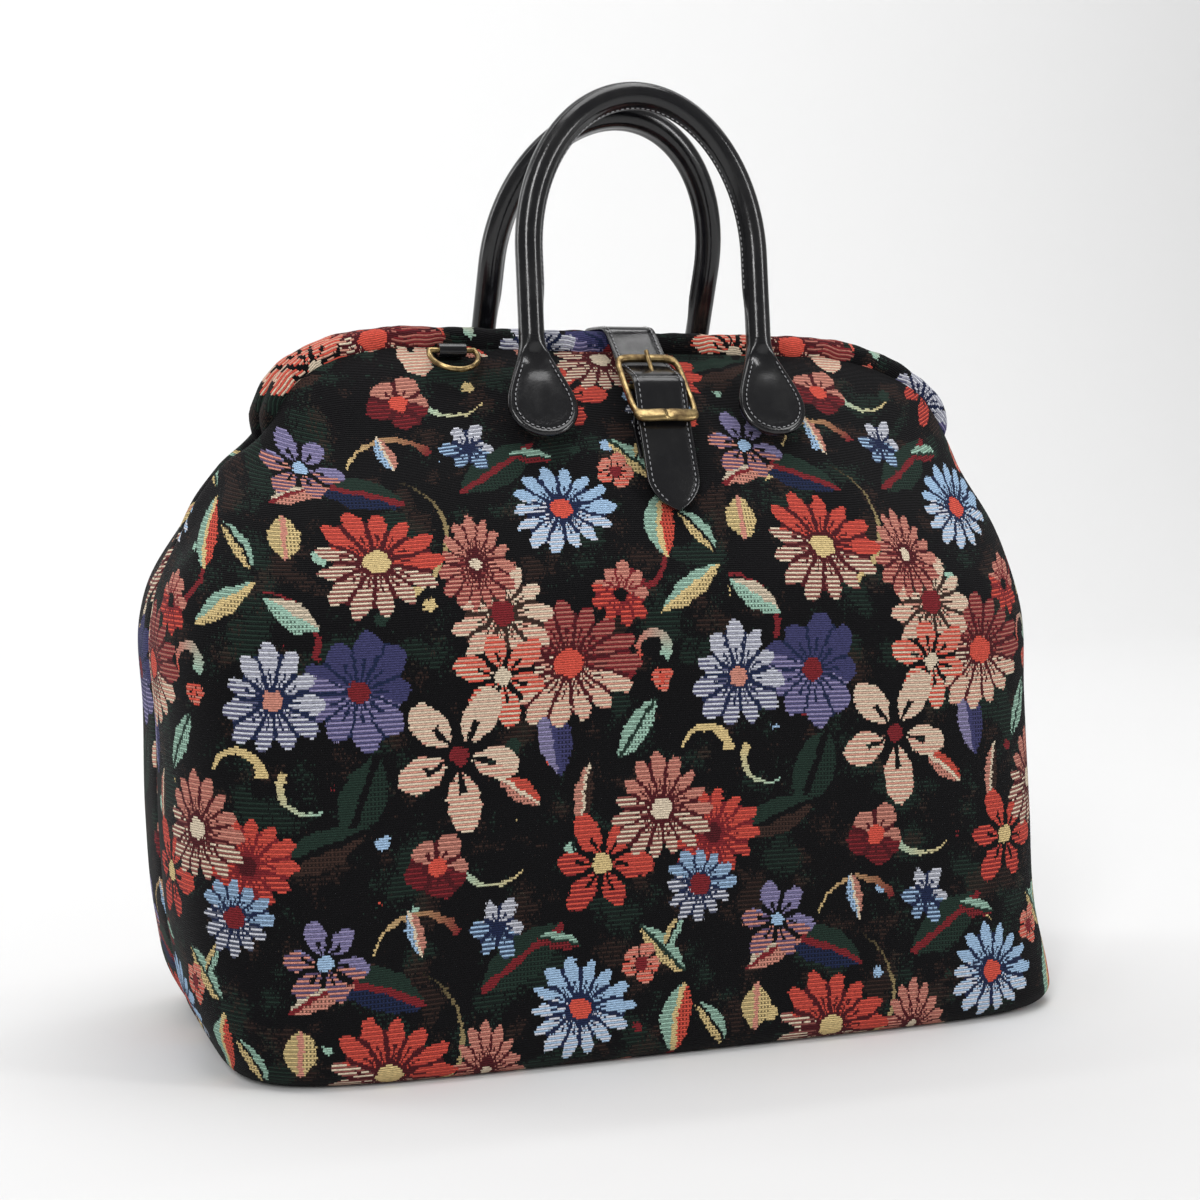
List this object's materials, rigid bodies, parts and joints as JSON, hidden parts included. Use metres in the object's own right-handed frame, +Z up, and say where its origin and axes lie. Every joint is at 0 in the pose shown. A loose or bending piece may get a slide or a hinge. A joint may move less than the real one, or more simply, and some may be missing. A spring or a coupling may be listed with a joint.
{
  "type": "carpet bag",
  "caption": "Soft floral tapestry travel bag with a hinged frame mouth, rolled leather handles, a buckled closing strap and D-rings.",
  "frame": {"origin": "on the floor under the middle of the base", "axes": "+X along the bag to the right as seen from the buckle side, +Y to the back, +Z up"},
  "size_m": [0.5007, 0.2344, 0.5229],
  "materials": {
    "tapestry": "woven floral chenille tapestry on black",
    "roll_tapestry": "the same tapestry, cut as strips for the frame rolls",
    "lining": "plain black twill",
    "black_leather": "glossy smooth black leather",
    "cord": "twisted cotton cord",
    "antique_brass": "brushed antique brass",
    "steel": "plain strip steel",
    "board": "stiff fibre board"
  },
  "bodies": {
    "bag_body": {"front_panel": "tapestry", "back_panel": "tapestry", "front_lining": "lining", "back_lining": "lining", "base_board": "board", "hinge_rivet_left": "steel", "hinge_rivet_right": "steel"},
    "front_mouth": {"front_frame": "steel", "front_roll": "roll_tapestry", "front_panel_top": "tapestry", "front_lining_top": "lining", "ring_tab_left": "black_leather"},
    "back_mouth": {"back_frame": "steel", "back_roll": "roll_tapestry", "back_panel_top": "tapestry", "back_lining_top": "lining", "ring_tab_right": "black_leather"},
    "front_tabs": {"front_handle_tab_left": "black_leather", "front_handle_tab_right": "black_leather", "buckle_strap": "black_leather"},
    "back_tabs": {"back_handle_tab_left": "black_leather", "back_handle_tab_right": "black_leather", "strap_anchor": "black_leather"},
    "front_grip": {"front_handle": "black_leather", "front_handle_core": "cord"},
    "back_grip": {"back_handle": "black_leather", "back_handle_core": "cord"},
    "strap": {"closing_strap": "black_leather"},
    "buckle": {"buckle_frame": "antique_brass"},
    "prong": {"buckle_prong": "antique_brass"},
    "ring_left": {"d_ring_left": "antique_brass"},
    "ring_right": {"d_ring_right": "antique_brass"}
  },
  "joints": [
    {"name": "front_mouth_hinge", "type": "hinge", "parent": "bag_body", "child": "front_mouth", "pos_m": [0, 0, 0.314], "axis": [1, 0, 0], "range_deg": [0, 36], "deforming": ["front_panel_top", "front_lining_top"]},
    {"name": "back_mouth_hinge", "type": "hinge", "parent": "bag_body", "child": "back_mouth", "pos_m": [0, 0, 0.314], "axis": [1, 0, 0], "range_deg": [-36, 0], "deforming": ["back_panel_top", "back_lining_top"]},
    {"name": "front_tabs_turn", "type": "hinge", "parent": "front_mouth", "child": "front_tabs", "pos_m": [0, -0.0165, 0.373], "axis": [1, 0, 0], "range_deg": [-35, 0]},
    {"name": "back_tabs_turn", "type": "hinge", "parent": "back_mouth", "child": "back_tabs", "pos_m": [0, 0.0165, 0.373], "axis": [1, 0, 0], "range_deg": [0, 35]},
    {"name": "strap_lift", "type": "hinge", "parent": "back_tabs", "child": "strap", "pos_m": [0, 0.0182, 0.3765], "axis": [1, 0, 0], "range_deg": [-130, 0], "deforming": ["closing_strap"]},
    {"name": "front_handle_fold", "type": "hinge", "parent": "front_tabs", "child": "front_grip", "pos_m": [0, -0.046, 0.379], "axis": [1, 0, 0], "range_deg": [0, 90]},
    {"name": "back_handle_fold", "type": "hinge", "parent": "back_tabs", "child": "back_grip", "pos_m": [0, 0.046, 0.379], "axis": [1, 0, 0], "range_deg": [-100, 0]},
    {"name": "buckle_swing", "type": "hinge", "parent": "front_tabs", "child": "buckle", "pos_m": [0, -0.05967, 0.356], "axis": [1, 0, 0], "range_deg": [-12, 8]},
    {"name": "prong_swing", "type": "hinge", "parent": "buckle", "child": "prong", "pos_m": [0, -0.05967, 0.356], "axis": [1, 0, 0], "range_deg": [0, 90]},
    {"name": "ring_left_swing", "type": "hinge", "parent": "front_mouth", "child": "ring_left", "pos_m": [-0.106, -0.028, 0.3755], "axis": [1, 0, 0], "range_deg": [-110, 0]},
    {"name": "ring_right_swing", "type": "hinge", "parent": "back_mouth", "child": "ring_right", "pos_m": [0.106, 0.028, 0.3755], "axis": [1, 0, 0], "range_deg": [0, 110]}
  ],
  "couplings": [
    {"joint": "back_mouth_hinge", "follows": "front_mouth_hinge", "ratio": -1},
    {"joint": "front_tabs_turn", "follows": "front_mouth_hinge", "ratio": -0.75},
    {"joint": "back_tabs_turn", "follows": "front_mouth_hinge", "ratio": 0.75},
    {"joint": "strap_lift", "follows": "front_mouth_hinge", "ratio": -3.6}
  ]
}
